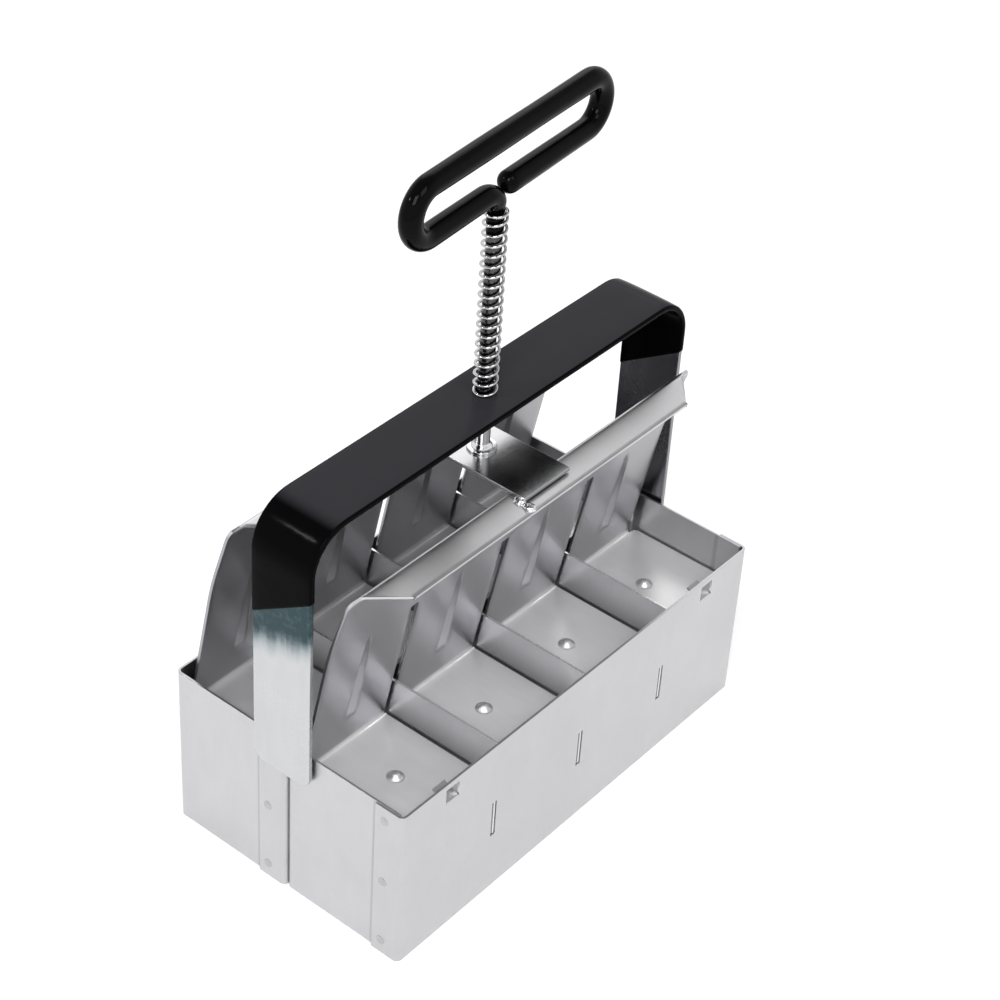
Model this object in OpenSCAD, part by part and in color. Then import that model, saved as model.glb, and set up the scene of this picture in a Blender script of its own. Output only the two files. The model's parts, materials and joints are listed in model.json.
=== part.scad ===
// Hand soil blocker: two rows of square cells in folded sheet steel, with a spring-loaded
// plunger that pushes the finished blocks out of the cells from above.
// +X runs along the rows, +Z is up, and the origin is the middle of the footprint.

/* [Cells] */
// Clear length of a cell along the row
cell_l = 50.5; // [40:0.5:60]
// Clear width of a cell across the row
cell_w = 55; // [46:0.5:64]
// Height of the box walls
box_h = 74; // [68:1:90]
// Thickness of the box sheet
sheet_t = 1; // [0.8:0.1:1.4]
// Inner radius of the folds in the box sheet
fold_r = 1.5; // [0.5:0.1:2]
// Width of the flanges that a side wall folds round the end walls
side_flange = 13; // [8:0.5:18]
// Length of the tabs that hold the dividers in their slots
divider_tab_l = 16.6; // [10:0.2:24]
// Height of the lower edge of the divider tabs
divider_tab_z = 28; // [16:0.5:36]
// Play between a divider tab and its slot on the open side
slot_play = 1.3; // [0.3:0.1:2]
// Play between a divider tab and its slot on the snug side and at both ends
slot_snug = 0.3; // [0.2:0.05:0.5]
// How far a divider tab stops short of the outer face
tab_recess = 0.3; // [0.1:0.05:0.5]

/* [Stop tabs] */
// Width of a lanced stop tab
lance_w = 6.4; // [4:0.2:10]
// Length of a lanced stop tab, and so the height of its window
lance_l = 7.2; // [5:0.2:9]
// Angle that a stop tab is bent inwards
lance_angle = 65; // [60:5:90]
// Height of the strip of wall above the window of a stop tab
lance_strip = 2.5; // [1.5:0.5:5]

/* [Ejectors] */
// Thickness of the ejector sheet
ejector_t = 1.2; // [0.8:0.1:1.6]
// Height of the top face of the plates at rest
plate_z = 56; // [54:0.5:58]
// Gap between a plate and the walls round it
plate_gap = 0.8; // [0.5:0.1:1.2]
// Gap between the foot of the web and the wall behind it
web_gap = 0.4; // [0.3:0.05:0.8]
// Gap between the ends of the web and the end walls
web_end_gap = 4.5; // [1.5:0.1:6]
// Lean of the web from upright, up to its bend
web_lean = 11; // [8:0.5:13]
// Lean of the web from upright above its bend
web_top_lean = 17; // [13:0.5:22]
// Height of the shallow bend in the web
web_bend_z = 120; // [119:0.5:126]
// Height of the top face of the flange at rest
flange_z = 150; // [140:1:158]
// Width of the flange
flange_w = 13; // [11:0.5:18]
// How far each end of the flange's free edge is cut back
flange_cut = 15; // [6:0.5:24]
// Radius of the top corners of the web
web_corner_r = 5; // [2:0.5:10]
// Gap on each side of a divider in its web slot
divider_gap = 1.5; // [0.4:0.1:4]
// Travel of the plunger
stroke = 41; // [30:1:46]
// Width of a web rib at its foot
rib_w = 6.4; // [2:0.2:8]
// Width of a web rib at its top
rib_top_w = 2.4; // [1:0.1:4]
// How far a web rib stands out at its foot
rib_h = 2; // [0.6:0.1:2.4]
// Length of a web rib
rib_l = 48; // [24:1:48]
// Height of the foot of a web rib above the plate
rib_rise = 15; // [4:1:15]

/* [Dibbles] */
// Diameter of a dibble where it meets the plate
dibble_d = 9; // [7:0.5:14]
// Diameter of a dibble at its tip
dibble_tip_d = 6.5; // [4:0.5:7]
// Length of a dibble
dibble_l = 8; // [5:0.5:8.5]
// Diameter of the dome head of a dibble screw
dome_d = 7; // [5:0.2:10]
// Height of the dome head of a dibble screw
dome_h = 1.9; // [1:0.1:2.4]
// Diameter of a dibble screw
screw_d = 3; // [2:0.1:4]
// Length of a dibble screw under its head
screw_l = 6; // [4:0.5:6]

/* [Bail] */
// Width of the bail strap
bail_w = 27.5; // [24:0.5:36]
// Thickness of the bail strap
bail_t = 2; // [1.5:0.1:3]
// Height of the top face of the coated bail
bail_top = 176.5; // [170:0.5:186]
// Height of the lower ends of the bail legs
bail_foot = 61; // [50:1:66]
// Inner radius of the bail's bends
bail_bend_r = 16; // [6:0.5:20]
// Radius of the lower corners of the bail legs
bail_corner_r = 5; // [2:0.5:10]
// Thickness of the black vinyl on the bail
bail_coat = 0.5; // [0.3:0.1:1.5]
// Height of the dip line at the middle of a leg
dip_z = 139.5; // [120:0.5:150]
// Slope of the dip line across a leg
dip_angle = 33; // [0:1:40]
// Clearance of the rod in the bail
rod_guide_gap = 0.4; // [0.3:0.05:0.6]

/* [Bridge] */
// Length of the bridge plate along the row
bridge_l = 26; // [20:1:36]
// Thickness of the bridge plate
bridge_t = 1.6; // [1:0.1:4]
// How much of the front flange the bridge plate covers
bridge_lap = 7.8; // [5:0.2:10]
// Diameter of a weld tack
tack_d = 4.4; // [3:0.2:6]
// Height of a weld tack above the flange
tack_h = 1.6; // [1:0.1:2]
// Distance between the two tacks of a pair
tack_pitch = 4.8; // [4:0.2:6]
// Gap between the outer tack of a pair and the front edge of the bridge plate
tack_gap = 0.4; // [0.1:0.1:1]
// Diameter of the rod washers
washer_d = 11.4; // [10:0.2:14]
// Thickness of the rod washers
washer_t = 1; // [0.6:0.1:1.6]
// Width across the flats of the lock nut
nut_af = 10; // [9:0.5:12]
// Height of the lock nut
nut_h = 5; // [3:0.5:6]

/* [Plunger] */
// Diameter of the plunger rod
rod_d = 6; // [5:0.5:7]
// Diameter of the collar on the rod above the bridge
collar_d = 8.2; // [7.4:0.2:9.4]
// Height of the collar on the rod
collar_h = 2.4; // [1:0.2:4]
// Length of rod below the lock nut
rod_tail = 3; // [1:0.5:6]
// Diameter of the coated loop
loop_d = 8.8; // [8:0.2:11]
// Distance between the middles of the two bars of the loop
loop_rise = 19.8; // [18:0.2:30]
// Length of the straight upper bar of the loop
loop_bar = 93; // [70:1:120]
// How far the middle of the loop sits past the rod
loop_shift = 7; // [-5:0.5:8]
// Turn of the loop about the rod
loop_yaw = 4.3; // [0:0.1:12]
// Height of the lower bar of the loop
loop_z = 261.2; // [250:0.2:275]
// Radius of the bend from the rod into the loop
rod_bend_r = 8; // [6:0.5:12]
// Gap between the loop's free end and the bend it points at
end_gap = 0.4; // [0.1:0.1:1]
// Thickness of the thin coat on the rod inside the spring
neck_coat = 0.25; // [0.1:0.05:0.3]
// Length of the thin coat on the rod
neck_l = 10; // [4:1:14]

/* [Return spring] */
// Diameter of the spring wire
wire_d = 1.2; // [0.8:0.1:1.2]
// Clearance between the rod and the spring
spring_gap = 0.6; // [0.55:0.05:1]
// Number of turns of the spring
turns = 19; // [10:0.5:20]
// Part of a turn that lies flat at each end
flat_turn = 0.55; // [0.5:0.01:0.6]
// Gap left between the spring and its seats
seat_gap = 0.1; // [0.05:0.05:0.3]

/* [Hidden] */
$fn = 64;
eps = 0.01;
// how far a cut runs past the face that it opens
cut = 1;
// cells in each row, with a node for each divider and dibble
cells = 4;

// box
row_w = cell_w + 2 * sheet_t;
half_in = (cells * cell_l + (cells - 1) * sheet_t) / 2;
half_end = half_in + sheet_t;
half_len = half_end + sheet_t;
divider_pitch = cell_l + sheet_t;
divider_x = [for (k = [1 : cells - 1]) (k - cells / 2) * divider_pitch];
slot_w = sheet_t + slot_play + slot_snug;
slot_l = divider_tab_l + 2 * slot_snug;
stop_x = half_in - cell_l / 2;
lance_hinge_z = box_h - lance_strip - lance_l;
lance_cut = 0.4;

// ejectors
crease_y = -(sheet_t + web_gap + ejector_t / 2);
bend_y = crease_y - (web_bend_z - plate_z) * tan(web_lean);
fold_y = bend_y - (flange_z - web_bend_z) * tan(web_top_lean);
free_y = fold_y - flange_w;
plate_half = half_in - plate_gap;
web_half = half_in - web_end_gap;
plate_slot_w = sheet_t + 2 * plate_gap;
web_slot_w = sheet_t + 2 * divider_gap;
slot_top_play = 0.8;
web_slot_top = box_h + stroke + slot_top_play;
rib_foot_z = plate_z + rib_rise;

// dibbles
dibble_x = [for (k = [0 : cells - 1]) (k - (cells - 1) / 2) * cell_l];
dibble_y = -row_w / 2;
thread_play = 0.05;
bore_spare = 0.5;
plate_hole_play = 0.1;

// bail
strap_top = bail_top - bail_coat;
bail_half = half_len + bail_t;
rod_guide_d = rod_d + 2 * rod_guide_gap;

// bridge
bridge_front = free_y + (flange_w - bridge_lap);
bridge_w = -2 * bridge_front;
bridge_top = flange_z + bridge_t;
rod_hole_play = 0.2;
nut_top = flange_z - washer_t;
rod_foot = nut_top - nut_h - rod_tail;

// plunger
loop_r = loop_rise / 2;
loop_left = loop_shift - loop_bar / 2;
loop_right = loop_shift + loop_bar / 2;
// the free end clears the round outside of the bend by end_gap, to a hundredth
end_reach = rod_bend_r + loop_d + end_gap;
loop_end = round(100 * (sqrt(pow(end_reach, 2) - pow(rod_bend_r, 2)) - rod_bend_r)) / 100;
neck_z = loop_z - rod_bend_r;

// spring
rings = 8;
sides = 6;
coil_r = rod_d / 2 + spring_gap + wire_d / 2;
spring_foot = bail_top + seat_gap + wire_d / 2;
spring_head = neck_z - seat_gap - wire_d / 2;
coil_pitch = (spring_head - spring_foot) / (turns - 2 * flat_turn);

steel = "gainsboro";
inner_steel = "silver";
black = [0.12, 0.12, 0.13];

// ---- shared shapes ----

// Rectangle from y = -depth to 0 whose two back corners, at y = 0, are round.
module round_backed(half, depth, r) {
    translate([-half, -depth]) square([2 * half, depth - r]);
    translate([r - half, -depth]) square([2 * (half - r), depth]);
    for (s = [-1, 1]) translate([s * (half - r), -r]) circle(r);
}

// U of folded strip seen from its edge: the back lies at y = -t to 0 and the legs reach -depth.
module folded_u(half, depth, t, r) {
    difference() {
        round_backed(half, depth, r + t);
        translate([0, -t]) round_backed(half - t, depth, r);
    }
}

// Flat strip of thickness t between two points, with a round at each end.
module strip(p, q, t) {
    d = q - p;
    translate(p) rotate(atan2(d.y, d.x)) translate([0, -t / 2]) square([norm(d), t]);
    translate(p) circle(t / 2);
    translate(q) circle(t / 2);
}

// The corner that is left when a round of radius r is cut from a square corner at the origin.
module corner_cut(r) {
    difference() {
        translate([-r, -r]) square(r + cut);
        translate([-r, -r]) circle(r);
    }
}

// Moves a front-row part into the rear row.
module in_row(row) {
    translate([0, row * row_w, 0]) children();
}

// ---- box ----

// Slots for the divider tabs in the wall whose outer face is at y.
module tab_slots(y) {
    for (x = divider_x)
        translate([x - sheet_t / 2 - slot_play, y - cut, divider_tab_z - slot_snug])
            cube([slot_w, sheet_t + 2 * cut, slot_l]);
}

// Back wall and both end walls of a row, folded from one sheet.
module row_shell() {
    difference() {
        linear_extrude(box_h) folded_u(half_end, row_w - sheet_t - fold_r, sheet_t, fold_r);
        tab_slots(-sheet_t);
    }
}

// One stop tab, lanced from the side wall and bent inwards about its lower edge.
module lanced_tab(x) {
    translate([x, sheet_t / 2 - row_w, lance_hinge_z]) {
        rotate([0, 90, 0]) cylinder(d = sheet_t, h = lance_w, center = true);
        rotate([-lance_angle, 0, 0])
            translate([-lance_w / 2, -sheet_t / 2, 0]) cube([lance_w, sheet_t, lance_l]);
    }
}

// Side wall of a row, with flanges round the end walls, divider slots and two stop tabs.
module row_side_wall() {
    difference() {
        translate([0, -row_w, 0]) mirror([0, 1, 0])
            linear_extrude(box_h) folded_u(half_len, side_flange, sheet_t, fold_r);
        tab_slots(-row_w);
        for (s = [-1, 1])
            translate([s * stop_x - lance_w / 2 - lance_cut, -row_w - cut, lance_hinge_z])
                cube([lance_w + 2 * lance_cut, sheet_t + 2 * cut, lance_l]);
    }
    for (s = [-1, 1]) lanced_tab(s * stop_x);
}

// Divider between two cells, with a tab through the wall at each side.
module divider(k) {
    translate([divider_x[k - 1] - sheet_t / 2, 0, 0]) {
        translate([0, sheet_t - row_w, 0]) cube([sheet_t, cell_w, box_h]);
        translate([0, tab_recess - row_w, divider_tab_z])
            cube([sheet_t, row_w - 2 * tab_recess, divider_tab_l]);
    }
}

// ---- bail ----

// Edge view of the bail, made thicker by grow on every face and turned upright.
module bail_band(grow, foot) {
    translate([0, bail_w / 2 + grow, 0]) rotate([90, 0, 0]) linear_extrude(bail_w + 2 * grow)
        translate([0, strap_top + grow])
            folded_u(bail_half + grow, strap_top + grow - foot, bail_t + 2 * grow, bail_bend_r - grow);
}

module rod_guide_hole() {
    grown = bail_t + 2 * bail_coat;
    translate([0, 0, bail_top - grown - cut]) cylinder(d = rod_guide_d, h = grown + 2 * cut);
}

// Steel strap over the box, with its legs spot-welded to the end walls.
module bail_strap() {
    difference() {
        bail_band(0, bail_foot);
        rod_guide_hole();
        for (s = [-1, 1], m = [0, 1])
            mirror([0, m, 0]) translate([s * bail_half, bail_w / 2, bail_foot])
                rotate([0, 90, 0])
                    linear_extrude(4 * bail_t, center = true) corner_cut(bail_corner_r);
    }
}

// Vinyl dipped over the upper part of the bail, down to a slanting line.
module bail_grip() {
    reach = 2 * half_len;
    difference() {
        bail_band(bail_coat, bail_foot);
        bail_band(0, bail_foot - cut);
        rod_guide_hole();
        translate([0, 0, dip_z]) rotate([-dip_angle, 0, 0])
            translate([-reach, -reach, -reach]) cube([2 * reach, 2 * reach, reach]);
    }
}

// ---- ejectors ----

// Rib pressed into the web, widest at its foot, drawn upright with its foot at the origin.
module web_rib() {
    half_sheet = ejector_t / 2;
    half_base = rib_w / 2 * (1 + half_sheet / rib_h);
    translate([0, -half_sheet, 0]) linear_extrude(rib_l, scale = rib_top_w / rib_w)
        polygon([[-half_base, half_sheet], [0, -rib_h], [half_base, half_sheet]]);
}

// One sheet with a plate for each cell, a leaning web behind them, bent once, and a flange at the top.
module ejector() {
    mid_plate = plate_z - ejector_t / 2;
    mid_flange = flange_z - ejector_t / 2;
    rib_y = crease_y - rib_rise * tan(web_lean);
    difference() {
        union() {
            translate([-plate_half, sheet_t + plate_gap - row_w, plate_z - ejector_t])
                cube([2 * plate_half, row_w - sheet_t - plate_gap + crease_y, ejector_t]);
            rotate([90, 0, 90]) linear_extrude(2 * web_half, center = true) {
                strip([crease_y - 2 * ejector_t, mid_plate], [crease_y, mid_plate], ejector_t);
                strip([crease_y, mid_plate], [bend_y, web_bend_z], ejector_t);
                strip([bend_y, web_bend_z], [fold_y, mid_flange], ejector_t);
                strip([fold_y, mid_flange], [free_y + ejector_t / 2, mid_flange], ejector_t);
            }
            for (x = dibble_x)
                translate([x, rib_y, rib_foot_z]) rotate([web_lean, 0, 0]) web_rib();
        }
        for (x = divider_x) {
            translate([x - plate_slot_w / 2, -row_w, plate_z - 2 * ejector_t])
                cube([plate_slot_w, row_w, 3 * ejector_t]);
            translate([x - web_slot_w / 2, -row_w, plate_z])
                cube([web_slot_w, row_w, web_slot_top - plate_z]);
        }
        for (x = dibble_x)
            translate([x, dibble_y, plate_z - 2 * ejector_t])
                cylinder(d = screw_d + 2 * plate_hole_play, h = 3 * ejector_t);
        for (m = [0, 1]) mirror([m, 0, 0]) {
            translate([web_half, fold_y / 2, flange_z]) rotate([90, 0, 0])
                linear_extrude(-fold_y + 2 * flange_w, center = true) corner_cut(web_corner_r);
            translate([0, 0, flange_z - 2 * ejector_t]) linear_extrude(3 * ejector_t)
                polygon([
                    [web_half - web_corner_r, fold_y],
                    [web_half - web_corner_r - flange_cut, free_y - eps],
                    [web_half + cut, free_y - eps],
                    [web_half + cut, fold_y]
                ]);
        }
    }
}

// ---- dibbles ----

// Tapered peg under a plate that presses the seed hole into the block.
module dibble(k) {
    top = plate_z - ejector_t;
    translate([dibble_x[k - 1], dibble_y, top - dibble_l]) difference() {
        cylinder(d1 = dibble_tip_d, d2 = dibble_d, h = dibble_l);
        translate([0, 0, dibble_l - screw_l + ejector_t - bore_spare])
            cylinder(d = screw_d + 2 * thread_play, h = screw_l);
    }
}

// Dome-headed screws that hold the dibbles of one row.
module dibble_screws() {
    dome_r = (pow(dome_d / 2, 2) + pow(dome_h, 2)) / (2 * dome_h);
    for (x = dibble_x) translate([x, dibble_y, plate_z]) rotate_extrude() {
        translate([0, -screw_l]) square([screw_d / 2, screw_l + eps]);
        intersection() {
            translate([0, dome_h - dome_r]) circle(dome_r);
            square([dome_d, dome_h]);
        }
    }
}

// ---- bridge and fasteners ----

// Polished plate that joins the two flanges and carries the rod.
module bridge_plate() {
    difference() {
        translate([-bridge_l / 2, -bridge_w / 2, flange_z]) cube([bridge_l, bridge_w, bridge_t]);
        translate([0, 0, flange_z - cut]) cylinder(d = rod_d + 2 * rod_hole_play, h = bridge_t + 2 * cut);
    }
}

// Low drop of weld on the flange, at the left edge of the bridge plate.
module tack(y) {
    translate([-bridge_l / 2, y, flange_z]) difference() {
        translate([0, 0, tack_h - tack_d / 2]) sphere(d = tack_d);
        translate([-tack_d, -tack_d, -tack_d]) cube([2 * tack_d, 2 * tack_d, tack_d]);
    }
}

// A tack past the front edge of the bridge plate, and one beside the plate on each flange.
module bridge_tacks() {
    outer_y = bridge_front - tack_gap - tack_d / 2;
    tack(outer_y);
    for (turn = [0, 180]) rotate([0, 0, turn]) difference() {
        tack(outer_y + tack_pitch);
        translate([-bridge_l / 2, bridge_front - tack_d, flange_z - eps])
            cube([tack_d, 3 * tack_d, tack_d]);
    }
}

// Washer round the rod with its lower face at height z.
module rod_washer(z) {
    translate([0, 0, z]) difference() {
        cylinder(d = washer_d, h = washer_t);
        translate([0, 0, -cut]) cylinder(d = rod_d + 2 * rod_hole_play, h = washer_t + 2 * cut);
    }
}

module lock_nut() {
    translate([0, 0, nut_top - nut_h]) difference() {
        cylinder(d = nut_af / cos(30), h = nut_h, $fn = 6);
        translate([0, 0, -cut]) cylinder(d = rod_d + 2 * thread_play, h = nut_h + 2 * cut);
    }
}

// ---- plunger ----

// Round bar of radius r with an optional bore, seen from its end.
module bar_face(r, bore) {
    difference() {
        circle(r);
        if (bore > 0) circle(bore);
    }
}

// Part of a ring of the bar, upright, from angle start and round by sweep about [x, z].
module bar_bend(x, z, radius, start, sweep, r, bore) {
    translate([x, 0, z]) rotate([90, 0, 0]) rotate([0, 0, start])
        rotate_extrude(angle = sweep) translate([radius, 0]) bar_face(r, bore);
}

// Straight bar from x = a to x = b at height z.
module bar_run(a, b, z, r, bore) {
    translate([a, 0, z]) rotate([0, 90, 0]) linear_extrude(b - a) bar_face(r, bore);
}

// The bent bar from the foot of its first bend round the loop to its free end.
module loop_path(r, bore) {
    rotate([0, 0, loop_yaw]) {
        bar_bend(-rod_bend_r, neck_z, rod_bend_r, 0, 90, r, bore);
        bar_run(loop_left, -rod_bend_r, loop_z, r, bore);
        bar_bend(loop_left, loop_z + loop_r, loop_r, 90, 180, r, bore);
        bar_run(loop_left, loop_right, loop_z + loop_rise, r, bore);
        bar_bend(loop_right, loop_z + loop_r, loop_r, -90, 180, r, bore);
        bar_run(loop_end, loop_right, loop_z, r, bore);
    }
}

// Steel rod bent into a loop at the top, with a collar that stands on the upper washer.
module plunger_rod() {
    loop_path(rod_d / 2, 0);
    rotate([0, 0, loop_yaw]) translate([0, 0, rod_foot])
        linear_extrude(neck_z - rod_foot) bar_face(rod_d / 2, 0);
    translate([0, 0, bridge_top + washer_t]) cylinder(d = collar_d, h = collar_h);
}

// Glossy vinyl dipped over the loop, and a thin skin of it on the rod inside the spring.
module plunger_grip() {
    loop_path(loop_d / 2, rod_d / 2);
    rotate([0, 0, loop_yaw]) translate([loop_end, 0, loop_z]) rotate([0, -90, 0])
        rotate_extrude() intersection() {
            circle(d = loop_d);
            square(loop_d);
        }
    translate([0, 0, neck_z - neck_l])
        linear_extrude(neck_l) bar_face(rod_d / 2 + neck_coat, rod_d / 2);
}

// ---- return spring ----

// Height of the coil after t turns: flat for part of a turn at each end and steady between.
function coil_z(t) = spring_foot + coil_pitch * (min(max(t, flat_turn), turns - flat_turn) - flat_turn);
function coil_point(t) = [coil_r * cos(360 * t), coil_r * sin(360 * t), coil_z(t)];
function wire_ring(t) = [
    for (j = [0 : sides - 1])
        let (a = 360 * j / sides + 180 / sides, w = coil_r + wire_d / 2 * cos(a))
            [w * cos(360 * t), w * sin(360 * t), coil_z(t) + wire_d / 2 * sin(a)]
];

coil_rings = round(turns * rings);
coil_mid = [for (i = [0 : coil_rings]) coil_point(i / rings)];
// Least distance between points of the wire that are more than half a turn apart, less the wire.
spring_clear = min([
    for (i = [0 : coil_rings - rings + 2], j = [i + rings - 2 : min(i + 2 * rings, coil_rings)])
        norm(coil_mid[i] - coil_mid[j])
]) - wire_d;

module return_spring() {
    echo(spring_least_gap = spring_clear, spring_curls = turns);
    points = [for (i = [0 : coil_rings]) each wire_ring(i / rings)];
    last = sides * coil_rings;
    skin = [
        for (i = [0 : coil_rings - 1], j = [0 : sides - 1])
            let (n = (j + 1) % sides, a = sides * i + j, b = sides * i + n, c = a + sides, d = b + sides)
                each [[a, d, b], [a, c, d]]
    ];
    foot_cap = [for (j = [1 : sides - 2]) [0, j, j + 1]];
    head_cap = [for (j = [1 : sides - 2]) [last, last + j + 1, last + j]];
    polyhedron(points = points, faces = concat(skin, foot_cap, head_cap), convexity = 10);
}

// ---- assembly ----

color(steel) in_row(0) row_shell();  // front_shell
color(steel) in_row(0) row_side_wall();  // front_side_wall
color(steel) in_row(1) row_shell();  // rear_shell
color(steel) in_row(1) row_side_wall();  // rear_side_wall
color(inner_steel) in_row(0) divider(1);  // front_divider_1
color(inner_steel) in_row(0) divider(2);  // front_divider_2
color(inner_steel) in_row(0) divider(3);  // front_divider_3
color(inner_steel) in_row(1) divider(1);  // rear_divider_1
color(inner_steel) in_row(1) divider(2);  // rear_divider_2
color(inner_steel) in_row(1) divider(3);  // rear_divider_3
color(steel) bail_strap();
color(black) bail_grip();
color(inner_steel) in_row(0) ejector();  // front_ejector
color(inner_steel) in_row(1) ejector();  // rear_ejector
color("darkgray") bridge_plate();
color("dimgray") bridge_tacks();
color(steel) rod_washer(bridge_top);  // rod_washer_upper
color(steel) rod_washer(nut_top);  // rod_washer_lower
color(steel) lock_nut();
color(steel) plunger_rod();
color(black) plunger_grip();
color("white") return_spring();
color("gray") in_row(0) dibble(1);  // front_dibble_1
color("gray") in_row(0) dibble(2);  // front_dibble_2
color("gray") in_row(0) dibble(3);  // front_dibble_3
color("gray") in_row(0) dibble(4);  // front_dibble_4
color("gray") in_row(1) dibble(1);  // rear_dibble_1
color("gray") in_row(1) dibble(2);  // rear_dibble_2
color("gray") in_row(1) dibble(3);  // rear_dibble_3
color("gray") in_row(1) dibble(4);  // rear_dibble_4
color(steel) in_row(0) dibble_screws();  // front_dibble_screws
color(steel) in_row(1) dibble_screws();  // rear_dibble_screws
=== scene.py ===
# %% [markdown]
# # A hand soil blocker, dressed in Blender
# The tool is a double row of bottomless sheet steel cells under a flat steel bail. A plunger with a
# wire-like loop handle goes through the bail, and a spring holds it up. Pushing the loop down moves
# eight plates through the cells, which pushes eight soil blocks out.
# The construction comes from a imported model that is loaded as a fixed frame. This lesson gives it
# the finish of the real thing: folded edges, pressed ribs, spot welds, dipped vinyl and bright wire.

import json
import math
from math import cos, pi, radians, sin, sqrt, tan

import bmesh
import bpy
from mathutils import Matrix, Vector, noise


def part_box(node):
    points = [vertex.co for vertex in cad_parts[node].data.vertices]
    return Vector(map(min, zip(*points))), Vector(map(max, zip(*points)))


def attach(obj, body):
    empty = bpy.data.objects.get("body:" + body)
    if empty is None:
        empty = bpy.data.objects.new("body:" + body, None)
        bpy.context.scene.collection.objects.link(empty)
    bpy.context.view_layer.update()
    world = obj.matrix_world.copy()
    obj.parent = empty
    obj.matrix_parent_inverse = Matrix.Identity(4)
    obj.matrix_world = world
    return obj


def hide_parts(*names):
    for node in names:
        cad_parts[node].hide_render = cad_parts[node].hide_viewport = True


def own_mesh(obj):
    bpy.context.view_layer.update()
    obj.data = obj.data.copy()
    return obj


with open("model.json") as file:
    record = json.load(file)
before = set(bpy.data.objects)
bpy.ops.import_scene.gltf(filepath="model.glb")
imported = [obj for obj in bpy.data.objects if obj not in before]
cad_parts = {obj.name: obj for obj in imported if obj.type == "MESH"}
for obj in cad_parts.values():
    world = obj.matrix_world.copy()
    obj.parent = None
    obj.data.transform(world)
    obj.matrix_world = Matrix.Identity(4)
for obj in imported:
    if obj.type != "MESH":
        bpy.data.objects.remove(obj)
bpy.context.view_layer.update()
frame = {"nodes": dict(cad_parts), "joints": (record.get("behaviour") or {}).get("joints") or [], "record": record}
MM = 0.001

# %% [markdown]
# ## Sizes read from the frame
# Every piece that is made here has to sit exactly where the frame has it, so its sizes are read from
# the frame's own boxes. Only what a box can't tell, such as a bend's radius, is written as a value.

# %% Read the sizes
box_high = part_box("front_shell")[1]
wall_low, wall_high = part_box("front_side_wall")
strap_low, strap_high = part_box("bail_strap")
sheet_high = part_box("front_ejector")[1]
bridge_low, bridge_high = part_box("bridge_plate")
rod_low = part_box("plunger_rod")[0]
grip_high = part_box("plunger_grip")[1]
coil_low, coil_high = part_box("return_spring")
RIM_Z = box_high.z
ROW_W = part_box("rear_shell")[1].y - box_high.y
TRAVEL = frame["joints"][0]["range_m"][1]
print("rim", round(RIM_Z, 4), "row width", round(ROW_W, 4), "travel", TRAVEL)

# %% [markdown]
# ## The camera
# The camera stands where the photograph was taken from, off the left front corner and well above the
# tool. Its place, heading, tilt and roll were worked out from the corners of the box and the bail.

# %% Place the camera
CAMERA_AT = (-0.5801, -0.4537, 0.7000)
CAMERA_HEADING = radians(52.60)
CAMERA_TILT = radians(37.87)
CAMERA_ROLL = radians(3.865)
CAMERA_LENS = 89.79


def place_camera():
    data = bpy.data.cameras.new("camera")
    data.sensor_width = 36.0
    data.lens = CAMERA_LENS
    data.clip_start, data.clip_end = 0.05, 20.0
    camera = bpy.data.objects.new("camera", data)
    bpy.context.scene.collection.objects.link(camera)
    turn = (
        Matrix.Rotation(-CAMERA_HEADING, 4, "Z")
        @ Matrix.Rotation(pi / 2 - CAMERA_TILT, 4, "X")
        @ Matrix.Rotation(CAMERA_ROLL, 4, "Z")
    )
    camera.matrix_world = Matrix.Translation(CAMERA_AT) @ turn
    bpy.context.scene.camera = camera
    return camera


camera = place_camera()
print("camera at", tuple(round(v, 3) for v in camera.location))

# %% [markdown]
# ## Writing shaders as sums
# A shader is a graph of nodes, and a graph is hard to read as code. Here a small class wraps one
# output of a node, so that `1 - mask * 0.3` adds the two Math nodes that it needs. Every other node
# comes from one method, which sets the node's own settings first and then fills its sockets.

# %% A socket that does arithmetic
class Wire:
    """One output of a node. Arithmetic on it adds Math nodes."""

    def __init__(self, graph, socket):
        self.graph, self.socket = graph, socket

    def maths(self, operation, a, b):
        return self.graph.node("ShaderNodeMath", {"operation": operation}, {0: a, 1: b})

    def __add__(self, other):
        return self.maths("ADD", self, other)

    def __sub__(self, other):
        return self.maths("SUBTRACT", self, other)

    def __rsub__(self, other):
        return self.maths("SUBTRACT", other, self)

    def __mul__(self, other):
        return self.maths("MULTIPLY", self, other)

    def span(self, low, high):
        """0 at low, 1 at high, smooth between and flat outside."""
        settings = {"interpolation_type": "SMOOTHSTEP"}
        sockets = {"Value": self, "From Min": low, "From Max": high}
        return self.graph.node("ShaderNodeMapRange", settings, sockets)


# %% A graph, built node by node
class Graph:
    """The node tree of a material or of the world."""

    def __init__(self, tree):
        self.tree = tree

    def fill(self, socket, value):
        if isinstance(value, Wire):
            self.tree.links.new(value.socket, socket)
        elif isinstance(value, tuple) and len(value) == 3 and len(socket.default_value) == 4:
            socket.default_value = (*value, 1.0)
        else:
            socket.default_value = value

    def node(self, kind, settings=None, sockets=None, out=0):
        made = self.tree.nodes.new(kind)
        for name, value in (settings or {}).items():
            setattr(made, name, value)
        for name, value in (sockets or {}).items():
            self.fill(made.inputs[name], value)
        return Wire(self, made.outputs[out] if len(made.outputs) else None)

    def blend(self, amount, low, high):
        """Mixes two colours."""
        settings = {"data_type": "RGBA", "clamp_factor": True}
        return self.node("ShaderNodeMix", settings, {0: amount, 6: low, 7: high}, out=2)

    def ray(self, kind):
        """1 for the rays of a kind, such as Is Camera Ray, and 0 for the others."""
        return self.node("ShaderNodeLightPath", out=kind)


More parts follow.
